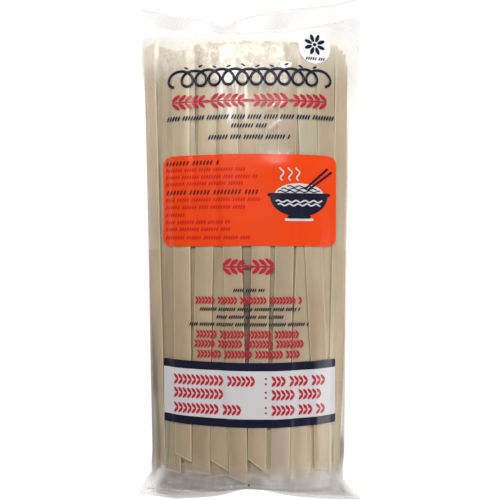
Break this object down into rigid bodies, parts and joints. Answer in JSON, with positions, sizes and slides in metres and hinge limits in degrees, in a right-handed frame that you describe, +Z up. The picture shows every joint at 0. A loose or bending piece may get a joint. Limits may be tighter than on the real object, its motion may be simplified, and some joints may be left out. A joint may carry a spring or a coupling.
{
  "type": "sealed pack of dried rice sticks",
  "caption": "Clear sealed pillow pack of flat dried rice sticks lying on its back, with a wavy top seal, flared lower corners and the sticks showing as relief.",
  "frame": {"origin": "on the surface that the pack lies on, under the middle of its outline", "axes": "+X across the pack, +Y along the sticks towards the top seal, +Z up through the printed front face"},
  "size_m": [0.1282, 0.2858, 0.0422],
  "materials": {
    "rice_sticks": "dried rice stick, smooth, hard and slightly see-through",
    "film": "thin clear glossy plastic film, wrinkled, heat sealed at both ends",
    "print_orange": "orange ink printed on film, glossy",
    "print_navy": "dark blue ink printed on film, glossy",
    "print_red": "red ink printed on film, glossy",
    "print_white": "white ink printed on film, glossy"
  },
  "bodies": {
    "root": {"sealed_pack": "rice_sticks"}
  },
  "joints": []
}
